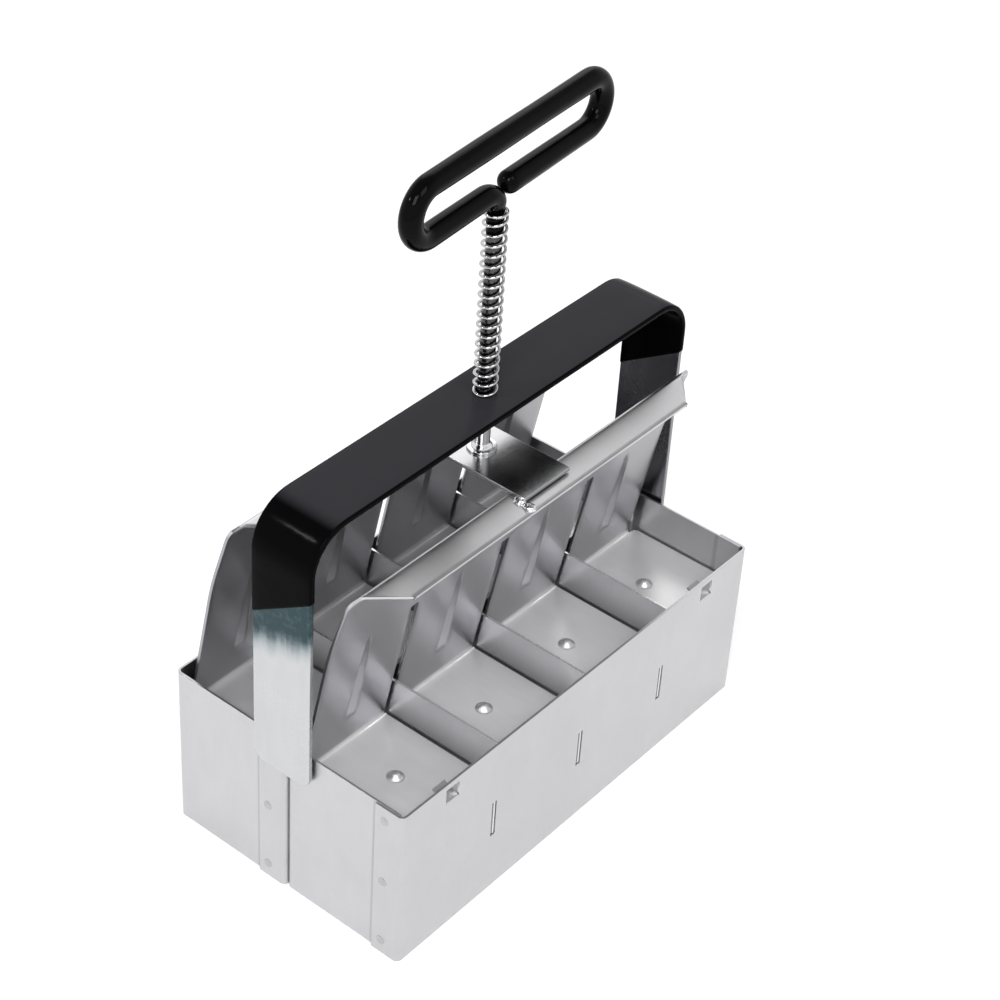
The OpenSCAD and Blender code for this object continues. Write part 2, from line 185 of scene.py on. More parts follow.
# %% A finish: a material and its patterns
class Finish(Graph):
    """A material, with the few patterns that the metals and vinyls share."""

    def __init__(self, name, **constants):
        self.material = bpy.data.materials.new(name)
        self.material.use_nodes = True
        super().__init__(self.material.node_tree)
        self.shader = self.tree.nodes["Principled BSDF"]
        for socket, value in constants.items():
            self.shader.inputs[socket.replace("_", " ")].default_value = value

    def set(self, **sockets):
        for name, value in sockets.items():
            self.fill(self.shader.inputs[name.replace("_", " ")], value)
        return self

    def place(self, stretch=(1.0, 1.0, 1.0)):
        """Where a point of the piece is, in metres, with each axis scaled by stretch."""
        point = self.node("ShaderNodeTexCoord", out="Object")
        return self.node("ShaderNodeVectorMath", {"operation": "MULTIPLY"}, {0: point, 1: stretch})

    def along(self, axis):
        """The point's own x, y or z, in metres."""
        return self.node("ShaderNodeSeparateXYZ", None, {0: self.place()}, out=axis)

    def noise(self, size, detail=3.0, roughness=0.5, stretch=(1.0, 1.0, 1.0)):
        """Soft noise from 0 to 1 whose patches are about size metres across."""
        sockets = {
            "Vector": self.place(stretch),
            "Scale": 1.0 / size,
            "Detail": detail,
            "Roughness": roughness,
        }
        return self.node("ShaderNodeTexNoise", None, sockets)

    def bump(self, height, depth, strength=1.0, under=None):
        sockets = {"Height": height, "Distance": depth, "Strength": strength}
        if under is not None:
            sockets["Normal"] = under
        return self.node("ShaderNodeBump", None, sockets)


print("shader helpers ready")

# %% [markdown]
# ## The finishes
# The box is galvanised sheet: pale, smooth and almost matt, with a faint cloudiness in the zinc. The
# ejectors are of smoother sheet that shows soft upright streaks from rolling and pressing. Both are
# metals, so their colour is what they reflect, and roughness does most of the drawing. The ejectors'
# plates are half metal and painted far paler than their web: painted light at the bottom of the cells
# and painted shade on the web. The box gets painted shade beside the flange seams and at the foot of
# the dividers.

# %% Galvanised sheet
WALL_FLANGE = 13.0 * MM
SEAM_LINE = 0.5 * MM
SEAM_FADE = 1.6 * MM
# Where the dividers' painted shade at the foot starts, is darkest and ends.
FOOT_SHADE_START = 47.0 * MM
FOOT_SHADE_DEEPEST = 54.0 * MM
FOOT_SHADE_END = 73.0 * MM


def shades(tone, dark, light):
    """A darker and a lighter shade of a colour."""
    return tuple(dark * v for v in tone), tuple(min(1.0, light * v) for v in tone)


def galvanised(name, tone, gloss, seams=(), foot_shaded=False, ripple=0.0004):
    """Zinc coated sheet: cloudy tone, faint streaks, fine grain and small marks. Painted shade darkens it beside
    each seam and, for the dividers, towards their foot.
    """
    f = Finish(name, Metallic=1.0)
    cloud = f.noise(0.045, 4.0, 0.55)
    grain = f.noise(0.0016, 2.0, 0.6)
    streaks = f.noise(0.006, 3.0, 0.6, (1.0, 1.0, 0.25))
    marks = f.noise(0.018, 6.0, 0.7).span(0.60, 0.80)
    level = (cloud - 0.5) * 0.50 + (grain - 0.5) * 0.10 + (streaks - 0.5) * 0.24 - marks * 0.10 + 0.5
    # Painted shade: a dark line on the wall beside each flange edge.
    for y in seams:
        gap = f.along("Y") - y
        seam_shade = gap.span(-0.1 * MM, 0.0) * (1.0 - gap.span(SEAM_LINE, SEAM_LINE + SEAM_FADE))
        level = level - seam_shade * 1.6
    shade = f.blend(level, *shades(tone, 0.78, 1.20))
    # Painted shade: darkest near the plates' level, fading up to the rim.
    if foot_shaded:
        z = f.along("Z")
        foot_shade = z.span(FOOT_SHADE_START, FOOT_SHADE_DEEPEST) * (1.0 - z.span(FOOT_SHADE_DEEPEST, FOOT_SHADE_END))
        shade = f.blend(foot_shade * 0.8, shade, tuple(0.25 * v for v in tone))
    f.set(Base_Color=shade)
    f.set(Roughness=(cloud - 0.5) * 0.16 + (streaks - 0.5) * 0.12 + marks * 0.03 + gloss)
    waves = f.bump(f.noise(0.034, 1.0, 0.4), ripple, 0.35)
    fine = f.bump(grain + streaks * 0.5, ripple * 0.04, 0.6, waves)
    return f.set(Normal=fine).material


FLANGE_EDGES = (wall_low.y + WALL_FLANGE, wall_low.y + ROW_W + WALL_FLANGE)
box_steel = galvanised("galvanised_sheet", (0.55, 0.55, 0.56), 0.36)
# The shells get painted shade beside their flange edges.
shell_steel = galvanised("shell_sheet", (0.55, 0.55, 0.565), 0.34, FLANGE_EDGES)
# The dividers get painted shade towards their foot.
divider_steel = galvanised("divider_sheet", (0.72, 0.72, 0.74), 0.32, foot_shaded=True, ripple=0.00012)
print("finish:", box_steel.name, shell_steel.name, divider_steel.name)


# %% Bright sheet of the ejectors
WEB_FROM = 56.5 * MM
WEB_FULL = 59.5 * MM
WEB_TO = 146.0 * MM
FLANGE_FROM = 148.0 * MM
PLATE_METAL = 0.45
# Painted light and shade: the plates get a far paler tone than the web and the flange of the same sheet.
PLATE_LIT_TONE = (0.86, 0.86, 0.87)
WEB_SHADED_TONE = (0.37, 0.37, 0.39)
FLANGE_SHADED_TONE = (0.60, 0.60, 0.61)


def bright_sheet(name, gloss):
    """Smooth sheet with soft upright streaks. The plates are duller than the web and the flange, and painted much
    paler: painted light on the plates, painted shade on the web and the flange.
    """
    f = Finish(name, Metallic=1.0)
    cloud = f.noise(0.030, 2.0, 0.5)
    streaks = f.noise(0.006, 3.0, 0.6, (1.0, 0.18, 0.10))
    grain = f.noise(0.0012, 2.0, 0.5)
    scuffs = f.noise(0.010, 7.0, 0.75, (1.0, 1.0, 0.35)).span(0.60, 0.78)
    level = (cloud - 0.5) * 0.45 + (streaks - 0.5) * 0.30 + (grain - 0.5) * 0.06 + 0.5
    tones = (PLATE_LIT_TONE, WEB_SHADED_TONE, FLANGE_SHADED_TONE)
    plate, web, flange = (f.blend(level, *shades(tone, 0.76, 1.2)) for tone in tones)
    z = f.along("Z")
    on_web = z.span(WEB_FROM, WEB_FULL)
    lower = f.blend(on_web, plate, web)
    # Only partly metal, so that the plates' pale painted tone shows as diffuse light.
    f.set(Metallic=on_web * (1.0 - PLATE_METAL) + PLATE_METAL)
    f.set(Base_Color=f.blend(z.span(WEB_TO, FLANGE_FROM), lower, flange))
    f.set(Roughness=(streaks - 0.5) * 0.10 + scuffs * 0.05 + (cloud - 0.5) * 0.10 + gloss)
    waves = f.bump(f.noise(0.050, 1.0, 0.4), 0.00012, 0.35)
    fine = f.bump(streaks + grain * 0.2, 0.000006, 0.4, waves)
    return f.set(Normal=fine).material


ejector_steel = bright_sheet("ejector_sheet", 0.31)
print("finish:", ejector_steel.name)


# %% Cut edges, polished plate, plated parts and welds
ROD_SHADE_FROM = 172.0 * MM


def plain_metal(name, tone, gloss, grain_size=0.002, grain_depth=0.00002, cloud=0.12, shade_from=None):
    """Metal with soft clouds and a fine grain. Above the given height it is painted much darker: painted shade."""
    f = Finish(name, Metallic=1.0)
    soft = f.noise(0.012, 3.0, 0.5)
    grain = f.noise(grain_size, 3.0, 0.6)
    level = (soft - 0.5) * 2 * cloud + (grain - 0.5) * cloud + 0.5
    shade = f.blend(level, *shades(tone, 0.75, 1.25))
    # Painted shade: above this height the colour drops to a dark copy of the tone.
    if shade_from:
        spring_shade = f.along("Z").span(shade_from, shade_from + 4.0 * MM)
        shade = f.blend(spring_shade, shade, tuple(0.12 * v for v in tone))
    f.set(Base_Color=shade)
    f.set(Roughness=(soft - 0.5) * 0.10 + (grain - 0.5) * 0.06 + gloss)
    return f.set(Normal=f.bump(grain, grain_depth, 0.6)).material


# Painted highlight: the dividers' sheared rims get this far paler finish, for thin white lines.
cut_edge_highlight = plain_metal("cut_edge_highlight", (0.90, 0.90, 0.91), 0.28)
polished = plain_metal("polished_plate", (0.50, 0.50, 0.51), 0.20)
plated = plain_metal("zinc_plate", (0.74, 0.74, 0.75), 0.14)
# Painted shade: the rod is darkened where it runs inside the spring.
rod_plate = plain_metal("rod_plate", (0.70, 0.70, 0.71), 0.16, shade_from=ROD_SHADE_FROM)
dome_steel = plain_metal("dome_plate", (0.80, 0.80, 0.81), 0.40)
chrome = plain_metal("spring_wire", (0.52, 0.52, 0.53), 0.10)
weld = plain_metal("weld_bead", (0.72, 0.72, 0.73), 0.10, 0.0012, 0.00020, 0.3)
spot_steel = plain_metal("spot_weld", (0.46, 0.46, 0.47), 0.28, 0.0009, 0.00004, 0.2)
rim_steel = plain_metal("wall_rim", (0.52, 0.52, 0.53), 0.34)
dibble_steel = plain_metal("dibble_steel", (0.48, 0.48, 0.48), 0.28)
print("finish:", cut_edge_highlight.name, polished.name, plated.name, chrome.name, weld.name)


# %% Bail steel under the dip line
# Where the painted reflection below the dip line lies.
DIP_REFLECTION_Z = 124.0 * MM
DIP_REFLECTION_SLOPE = -0.38
DIP_REFLECTION_STREAK = 7.0 * MM


def bail_metal():
    """Zinc plate with a dark greenish band that runs down in streaks below the dip, a painted reflection, and a
    far leg painted darker as painted shade.
    """
    f = Finish("bail_steel", Metallic=1.0)
    streak = f.noise(0.0036, 3.0, 0.6, (1.0, 1.0, 0.10))
    # Painted reflection: a dark greenish band that runs down in streaks below the dip line.
    above = f.along("Z") - f.along("Y") * DIP_REFLECTION_SLOPE + (streak - 0.5) * DIP_REFLECTION_STREAK - DIP_REFLECTION_Z
    dip_reflection = above.span(-9.0 * MM, 3.0 * MM)
    deep = above.span(-5.0 * MM, 6.0 * MM)
    cloud = f.noise(0.040, 3.0, 0.5)
    grain = f.noise(0.0015, 3.0, 0.6)
    level = (cloud - 0.5) * 0.30 + (grain - 0.5) * 0.10 + (streak - 0.5) * 0.25 + 0.5
    pale = f.blend(level, (0.44, 0.445, 0.46), (0.66, 0.665, 0.68))
    # Painted shade: the far leg is a darker copy of the near leg's steel.
    far_leg_shade = f.blend(level, (0.20, 0.20, 0.215), (0.32, 0.32, 0.34))
    speckle = f.noise(0.0024, 4.0, 0.65)
    green = f.blend(deep + (speckle - 0.5) * 0.7, (0.25, 0.31, 0.33), (0.032, 0.060, 0.068))
    near_leg = f.blend(dip_reflection, pale, green)
    f.set(Base_Color=f.blend(f.along("X").span(-1.0 * MM, 1.0 * MM), near_leg, far_leg_shade))
    f.set(Roughness=(cloud - 0.5) * 0.12 + (grain - 0.5) * 0.10 + 0.26)
    waves = f.bump(f.noise(0.030, 1.0, 0.4), 0.0005, 0.4)
    return f.set(Normal=f.bump(grain, 0.00002, 0.6, waves)).material


bail_steel = bail_metal()
print("finish:", bail_steel.name)


# %% Dipped vinyl
def vinyl(name, tone, top_light_tone, gloss, orange_peel, specular):
    """Dipped vinyl: nearly black, painted greyer on its upward faces as painted light, with the waves of a poured
    skin.
    """
    f = Finish(name, Metallic=0.0, Specular_IOR_Level=specular, Coat_Roughness=0.05)
    wear = f.noise(0.020, 6.0, 0.7)
    dust = f.noise(0.0012, 4.0, 0.7).span(0.62, 0.80)
    waves = f.noise(0.009, 2.0, 0.4)
    peel = f.noise(0.0011, 2.0, 0.5)
    facing = f.node("ShaderNodeNewGeometry", out="Normal")
    up = f.node("ShaderNodeSeparateXYZ", None, {0: facing}, out="Z")
    skin = f.blend((wear - 0.5) * 0.8 + dust * 0.25 + 0.5, *shades(tone, 0.75, 1.3))
    lit_top = tuple(v * (top_light_tone / tone[0]) for v in tone)
    # Painted light: faces that point up get the greyer tone.
    f.set(Base_Color=f.blend(up.span(0.90, 1.0), skin, lit_top))
    f.set(Roughness=(wear - 0.5) * 0.12 + dust * 0.06 + gloss)
    slow = f.bump(waves, 0.0004, 0.4)
    return f.set(Normal=f.bump(peel, orange_peel, 0.4, slow)).material


satin_vinyl = vinyl("satin_vinyl", (0.002, 0.002, 0.0023), 0.030, 0.16, 0.00003, 0.02)
gloss_vinyl = vinyl("gloss_vinyl", (0.002, 0.002, 0.0023), 0.003, 0.07, 0.00002, 0.06)
print("finish:", satin_vinyl.name, gloss_vinyl.name)

# %% [markdown]
# ## Making meshes
# Three ways are enough here. A sheet or plate from the frame is copied, its flat faces are joined up
# again and its edges get the small round that a press or a file leaves, since a real edge is what
# catches the light. Turned parts are a profile spun about an axis. Bent bar, wire and dipped strap
# are a section carried along a path.

# %% Finish a mesh and hand it to a body
def placed(name, data):
    """A new object in the scene."""
    thing = bpy.data.objects.new(name, data)
    bpy.context.scene.collection.objects.link(thing)
    return thing


def settle(name, mesh, finishes, body, stands_for, sharp=40.0):
    """Makes the piece, gives it its finishes and lets it ride in place of the CAD nodes."""
    for finish in finishes:
        mesh.materials.append(finish)
    for face in mesh.polygons:
        face.use_smooth = True
    mesh.set_sharp_from_angle(angle=radians(sharp))
    piece = placed(name, mesh)
    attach(piece, body)
    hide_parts(*stands_for)
    return piece


def mesh_from(bm, name):
    """Turns a bmesh into a mesh whose faces all point outwards."""
    bmesh.ops.recalc_face_normals(bm, faces=bm.faces)
    mesh = bpy.data.meshes.new(name)
    bm.to_mesh(mesh)
    bm.free()
    return mesh


def body_of(node):
    bodies = frame["record"]["behaviour"]["bodies"]
    return next(body for body, nodes in bodies.items() if node in nodes)


# %% A copy of a node with rounded edges
def softened(node, width, finishes, segments=2, bright=None):
    """Copies a node, joins its flat faces, rounds its edges and marks the faces that bright picks."""
    bm = bmesh.new()
    bm.from_mesh(frame["nodes"][node].data)
    bmesh.ops.remove_doubles(bm, verts=bm.verts, dist=1e-6)
    bmesh.ops.dissolve_limit(
        bm, angle_limit=radians(0.6), use_dissolve_boundaries=False, verts=bm.verts, edges=bm.edges
    )
    for face in bm.faces:
        face.material_index = 0
    corners = [e for e in bm.edges if len(e.link_faces) == 2 and e.calc_face_angle(0) > radians(32)]
    bmesh.ops.bevel(
        bm, geom=corners, offset=width, segments=segments, profile=0.5, affect="EDGES", clamp_overlap=True
    )
    if bright:
        for face in bm.faces:
            if bright(face.normal, face.calc_center_median()):
                face.material_index = 1
    low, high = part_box(node)
    for v in bm.verts:
        v.co = [min(max(c, a), b) for c, a, b in zip(v.co, low, high)]
    mesh = mesh_from(bm, node)
    piece = settle(node + "_sheet", mesh, finishes, body_of(node), [node])
    fair = piece.modifiers.new("fair", "WEIGHTED_NORMAL")
    fair.keep_sharp = True
    return piece


# %% A profile spun about an upright axis
def spun(bm, profile, at, steps=48):
    """Adds a closed turned solid: profile is a list of (radius, z), from the axis round to the axis."""
    rings = []
    for radius, z in profile:
        if radius < 1e-7:
            rings.append([bm.verts.new((at[0], at[1], at[2] + z))])
        else:
            rings.append([
                bm.verts.new((
                    at[0] + radius * cos(2 * pi * k / steps),
                    at[1] + radius * sin(2 * pi * k / steps),
                    at[2] + z,
                ))
                for k in range(steps)
            ])
    for low, high in zip(rings, rings[1:]):
        for k in range(steps):
            n = (k + 1) % steps
            if len(low) == 1:
                bm.faces.new((low[0], high[k], high[n]))
            elif len(high) == 1:
                bm.faces.new((low[k], high[0], low[n]))
            else:
                bm.faces.new((low[k], high[k], high[n], low[n]))


# %% A section carried along rings
def skinned(bm, rings, loop=False):
    """Joins rings of points into a tube. With loop the last ring meets the first."""
    made = [[bm.verts.new(p) for p in ring] for ring in rings]
    pairs = list(zip(made, made[1:])) + ([(made[-1], made[0])] if loop else [])
    for a, b in pairs:
        for k in range(len(a)):
            n = (k + 1) % len(a)
            bm.faces.new((a[k], a[n], b[n], b[k]))
    if not loop:
        bm.faces.new(reversed(made[0]))
        bm.faces.new(made[-1])


def round_section(centre, across, up, radius, sides):
    """A circle of points about centre, in the plane of two unit vectors."""
    return [
        centre + across * (radius * cos(2 * pi * k / sides)) + up * (radius * sin(2 * pi * k / sides))
        for k in range(sides)
    ]


def add_part(bm, part_bm):
    """Moves the faces of one bmesh into another."""
    part = bpy.data.meshes.new("part")
    part_bm.to_mesh(part)
    part_bm.free()
    bm.from_mesh(part)
    bpy.data.meshes.remove(part)


print("mesh helpers ready")

# %% [markdown]
# ## The box
# Each row is two pieces of folded sheet, spot-welded through flanges at the ends, with three dividers
# whose tabs show in the slots of the long wall. The rims were sheared. The dividers' rims are painted
# much paler than the zinc, a painted highlight that draws thin white lines across the cells.

# %% Shells, walls and dividers
EDGE_ROUND = 0.22 * MM
RIM_REACH = 0.35 * MM


def is_rim(normal, centre):
    """The sheared faces at the top of the box."""
    return normal.z > 0.3 and centre.z > RIM_Z - RIM_REACH


box_pieces = [
    softened(f"{row}_{part}", EDGE_ROUND, [steel, rim_steel], 2, is_rim)
    for row in ("front", "rear")
    for part, steel in (("shell", shell_steel), ("side_wall", box_steel))
]
box_pieces += [
    softened(f"{row}_divider_{k}", EDGE_ROUND, [divider_steel, cut_edge_highlight], 2, is_rim)
    for row in ("front", "rear")
    for k in (1, 2, 3)
]
print("box:", len(box_pieces), "sheets")

# %% [markdown]
# ## Spot welds
# A spot weld leaves a shallow round dent with a raised lip where the electrode pressed. Each flange
# has three of them. They are a low profile spun about an axis and laid on the flange, and they ride
# with the box.

# %% Press the spot welds
WELD_R = 1.9 * MM
WELD_LIP = 0.28 * MM
WELD_HEIGHTS = (6.4 * MM, 37.0 * MM, 67.6 * MM)
WELD_INSET = 8.7 * MM
WELD_PROFILE = (
    (0.0, 0.10), (0.45, 0.12), (0.62, 0.35), (0.78, 0.95), (0.90, 0.9), (1.02, 0.25), (1.10, -0.5)
)


def spot_welds(row, shift):
    """Six dents on the two end flanges of a row."""
    bm = bmesh.new()
    profile = [(r * WELD_R, h * WELD_LIP) for r, h in WELD_PROFILE] + [(0.0, -0.5 * WELD_LIP)]
    for z in WELD_HEIGHTS:
        for side in (-1, 1):
            one = bmesh.new()
            spun(one, profile, (0, 0, 0), 28)
            out = Matrix.Rotation(side * pi / 2, 4, "Y")
            at = Vector((side * wall_high.x, wall_low.y + WELD_INSET + shift, z))
            bmesh.ops.transform(one, matrix=Matrix.Translation(at) @ out, verts=one.verts)
            add_part(bm, one)
    mesh = mesh_from(bm, row + "_spot_welds")
    return settle(row + "_spot_welds", mesh, [spot_steel], "root", [], 60)


weld_pieces = [spot_welds("front", 0.0), spot_welds("rear", ROW_W)]
print("spot welds:", len(weld_pieces), "sets")

# %% [markdown]
# ## The ejectors
# Each ejector is one sheet: four plates, a web that leans forward and a flange on top, with a slot
# for every divider and a rib pressed into the web above each plate. It is built as a grid that runs
# along the bent profile. The ribs push the grid out before it gets its thickness, so they show on
# both faces, as pressed ribs do.

# %% The bent profile of the sheet
SHEET_T = 1.2 * MM
DOME_H = 1.9 * MM
PLATE_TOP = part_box("front_dibble_screws")[1].z - DOME_H
FLANGE_TOP = sheet_high.z
WEB_LEAN = radians(11)
WEB_TOP_LEAN = radians(17)
WEB_BEND_Z = 120.0 * MM
CREASE_Y = -2.0 * MM
FOLD_R = 1.7 * MM
WEB_BEND_R = 150.0 * MM
PLATE_SLOT_HALF = 1.3 * MM
WEB_SLOT_HALF = 2.0 * MM
FLANGE_W = 13.0 * MM
FLANGE_DROOP = 1.5 * MM
CELL_PITCH = 50.5 * MM
DIVIDER_PITCH = 51.5 * MM
SLOT_TOP = RIM_Z + TRAVEL + 0.8 * MM
WEB_HALF = 98.0 * MM
PLATE_HALF = sheet_high.x
CORNER_R = 5.0 * MM
FLANGE_CUT = 15.0 * MM

plate_mid = PLATE_TOP - SHEET_T / 2
flange_mid = FLANGE_TOP - SHEET_T / 2
BEND_Y = CREASE_Y - (WEB_BEND_Z - PLATE_TOP) * tan(WEB_LEAN)
FOLD_Y = BEND_Y - (FLANGE_TOP - WEB_BEND_Z) * tan(WEB_TOP_LEAN)


def rounded_path(corners, radii, steps):
    """The points of a bent line, with an arc of its own radius at each inner corner."""
    points = [corners[0]]
    for before, corner, after, radius in zip(corners, corners[1:], corners[2:], radii):
        u, v = (before - corner).normalized(), (after - corner).normalized()
        half = u.angle(v) / 2
        reach = radius / tan(half)
        centre = corner + (u + v).normalized() * (radius / sin(half))
        start, end = corner + u * reach - centre, corner + v * reach - centre
        points += [centre + start.lerp(end, k / steps).normalized() * radius for k in range(steps + 1)]
    points.append(corners[-1])
    return points


def divided(points, longest):
    """Adds points so that no step is longer than longest."""
    out = [points[0]]
    for a, b in zip(points, points[1:]):
        n = max(1, math.ceil((b - a).length / longest))
        out += [a.lerp(b, k / n) for k in range(1, n + 1)]
    return out


def sheet_profile():
    """The bent line of the sheet's middle, from the plates' outer edge to the flange's lip."""
    corners = [
        Vector((-ROW_W + 1.8 * MM, plate_mid)),
        Vector((CREASE_Y, plate_mid)),
        Vector((BEND_Y, WEB_BEND_Z)),
        Vector((FOLD_Y, flange_mid)),
        Vector((FOLD_Y - FLANGE_W, flange_mid - FLANGE_DROOP)),
    ]
    return divided(rounded_path(corners, (FOLD_R, WEB_BEND_R, FOLD_R), 8), 2.0 * MM)


profile = sheet_profile()
print("ejector profile:", len(profile), "points")

# %% Where the ribs push the sheet out
RIB_FOOT_Z = PLATE_TOP + 15.0 * MM
RIB_LENGTH = 48.0 * MM * cos(WEB_LEAN)
RIB_HEIGHTS = (2.0 * MM, 0.75 * MM)
RIB_HALVES = (3.2 * MM, 1.2 * MM)
RIB_X = [(k - 1.5) * CELL_PITCH for k in range(4)]
RIB_GRID = 0.4 * MM
RIB_LINES = 8


def smooth(t):
    """0 up to 0, 1 from 1, and smooth between."""
    t = min(1.0, max(0.0, t))
    return t * t * (3 - 2 * t)


def rib_push(x, z):
    """How far the ribs push the web forward at a point."""
    along = (z - RIB_FOOT_Z) / RIB_LENGTH
    if not 0.0 < along < 1.0:
        return 0.0
    half = RIB_HALVES[0] + (RIB_HALVES[1] - RIB_HALVES[0]) * along
    height = RIB_HEIGHTS[0] + (RIB_HEIGHTS[1] - RIB_HEIGHTS[0]) * along
    ends = smooth(along * 9) * smooth((1 - along) * 5)
    across = min(abs(x - rib) for rib in RIB_X) / half
    return height * ends * max(0.0, 1.0 - across)


def column_places():
    """Grid lines across the sheet: close together on the ribs and at the slots' edges."""
    marks = {-PLATE_HALF, PLATE_HALF}
    for rib in RIB_X:
        marks |= {rib + k * RIB_GRID for k in range(-RIB_LINES, RIB_LINES + 1)}
    for k in (-1, 0, 1):
        for half in (PLATE_SLOT_HALF, WEB_SLOT_HALF):
            marks |= {k * DIVIDER_PITCH - half, k * DIVIDER_PITCH + half}
    places = sorted(marks)
    out = [places[0]]
    for a, b in zip(places, places[1:]):
        n = max(1, math.ceil((b - a) / (3.5 * MM)))
        out += [a + (b - a) * k / n for k in range(1, n + 1)]
    return out


columns = column_places()
print("ejector grid:", len(columns), "columns")


# %% The outline of the sheet
OUTER_ZONE = RIB_X[-1] + RIB_LINES * RIB_GRID


def half_width(y, z):
    """How far the sheet reaches to each side at a point of its profile."""
    if z < plate_mid + 2.0 * MM:
        return WEB_HALF + (PLATE_HALF - WEB_HALF) * smooth((CREASE_Y - 1.5 * MM - y) / (0.8 * MM))
    if y < FOLD_Y - 0.1 * MM:
        out = (FOLD_Y - y) / FLANGE_W
        return WEB_HALF - CORNER_R - FLANGE_CUT * out
    drop = FLANGE_TOP - z
    if drop < CORNER_R:
        return WEB_HALF - CORNER_R + sqrt(max(0.0, CORNER_R ** 2 - (CORNER_R - drop) ** 2))
    return WEB_HALF


def in_slot(x, z):
    """True in the slots for the dividers, which are wider in the web than in the plates."""
    half = WEB_SLOT_HALF if z > PLATE_TOP else PLATE_SLOT_HALF
    return z < SLOT_TOP and any(abs(x - k * DIVIDER_PITCH) < half - 1e-6 for k in (-1, 0, 1))


def squeezed(x, half):
    """Moves the outer part of a grid line in or out, so that the last one lies on the outline."""
    if abs(x) <= OUTER_ZONE:
        return x
    share = (abs(x) - OUTER_ZONE) / (PLATE_HALF - OUTER_ZONE)
    return math.copysign(OUTER_ZONE + share * (half - OUTER_ZONE), x)


def solid_from(bm, thickness):
    """Gives an open sheet its thickness, evenly on both sides."""
    mesh = bpy.data.meshes.new("sheet")
    bm.to_mesh(mesh)
    bm.free()
    thing = placed("sheet", mesh)
    grow = thing.modifiers.new("thickness", "SOLIDIFY")
    grow.thickness, grow.offset, grow.use_even_offset = thickness, 0.0, True
    bevel = thing.modifiers.new("edges", "BEVEL")
    bevel.width, bevel.segments, bevel.limit_method, bevel.angle_limit = 0.25 * MM, 2, "ANGLE", radians(50)
    evaluated = thing.evaluated_get(bpy.context.evaluated_depsgraph_get())
    solid = bpy.data.meshes.new_from_object(evaluated)
    bpy.data.objects.remove(thing)
    return solid


# %% Build both ejectors
def ejector(row, shift):
    """One row's sheet: the grid with its ribs and slots, made solid."""
    bm = bmesh.new()
    grid = []
    for i, point in enumerate(profile):
        ahead = profile[min(i + 1, len(profile) - 1)] - profile[max(i - 1, 0)]
        normal = Vector((-ahead.y, ahead.x)).normalized()
        y, z = point
        half = half_width(y, z)
        line = []
        for x in columns:
            push = rib_push(x, z) if z < WEB_BEND_Z else 0.0
            out = point + normal * push
            line.append(bm.verts.new((squeezed(x, half), out.x + shift, out.y)))
        grid.append(line)
    for i in range(len(profile) - 1):
        z = (profile[i].y + profile[i + 1].y) / 2
        for j in range(len(columns) - 1):
            if not in_slot((columns[j] + columns[j + 1]) / 2, z):
                bm.faces.new((grid[i][j], grid[i][j + 1], grid[i + 1][j + 1], grid[i + 1][j]))
    bmesh.ops.delete(bm, geom=[v for v in bm.verts if not v.link_faces], context="VERTS")
    mesh = solid_from(bm, SHEET_T)
    node = row + "_ejector"
    return settle(node + "_sheet", mesh, [ejector_steel], body_of(node), [node])


ejectors = [ejector("front", 0.0), ejector("rear", ROW_W)]
print("ejector faces:", len(ejectors[0].data.polygons))

# %% [markdown]
# ## Dibbles and their screws
# A tapered peg under each plate presses the seed hole, and a dome-headed screw holds it from above.
# Both are turned parts, so their profiles are spun.

# %% Turn the dibbles and screws
DOME_R = 3.5 * MM
SCREW_R = 1.5 * MM
SCREW_L = 6.0 * MM
DIBBLE_TIP_R = 3.25 * MM
DIBBLE_EASE = 0.6 * MM
BORE_PLAY = 0.05 * MM
BORE_DEPTH = 5.3 * MM


def screw_profile():
    """A domed head and a plain shank with a small chamfer."""
    shares = [k / 14 for k in range(14)]
    dome = [(DOME_R * t, DOME_H * (1.0 - smooth(t) ** 1.2)) for t in shares]
    shank = [(DOME_R, 0.0), (SCREW_R, 0.0), (SCREW_R, -SCREW_L + 0.4 * MM)]
    return dome + shank + [(SCREW_R - 0.4 * MM, -SCREW_L), (0.0, -SCREW_L)]


def screws(row):
    """The four screws of a row."""
    node = row + "_dibble_screws"
    low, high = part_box(node)
    bm = bmesh.new()
    for x in RIB_X:
        spun(bm, screw_profile(), (x, (low.y + high.y) / 2, high.z - DOME_H), 40)
    mesh = mesh_from(bm, node)
    return settle(node + "_turned", mesh, [dome_steel], body_of(node), [node])


def dibble(node):
    """A tapered peg with a rounded tip and a blind bore for its screw."""
    low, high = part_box(node)
    tip, foot, ease = DIBBLE_TIP_R, (high.x - low.x) / 2, DIBBLE_EASE
    length = high.z - low.z
    bore_r, bore_z = SCREW_R + BORE_PLAY, length - BORE_DEPTH
    profile = [(0.0, 0.0), (tip - ease, 0.0), (tip - 0.2 * ease, 0.2 * ease), (tip + 0.1 * MM, ease)]
    profile += [(foot, length), (bore_r, length), (bore_r, bore_z), (0.0, bore_z)]
    bm = bmesh.new()
    spun(bm, profile, ((low.x + high.x) / 2, (low.y + high.y) / 2, low.z), 40)
    mesh = mesh_from(bm, node)
    return settle(node + "_turned", mesh, [dibble_steel], body_of(node), [node])


screw_pieces = [screws("front"), screws("rear")]
dibbles = [dibble(f"{row}_dibble_{k}") for row in ("front", "rear") for k in (1, 2, 3, 4)]
print("dibbles:", len(dibbles), "with", len(screw_pieces), "rows of screws")

# %% [markdown]
# ## The bail
# The bail is a flat strap, bent twice. Its legs are spot-welded to the end walls. The strap keeps its
# exact shape and only gets soft edges.

# %% Soften the strap
strap = softened("bail_strap", 0.45 * MM, [bail_steel], 3)
print("strap faces:", len(strap.data.polygons))

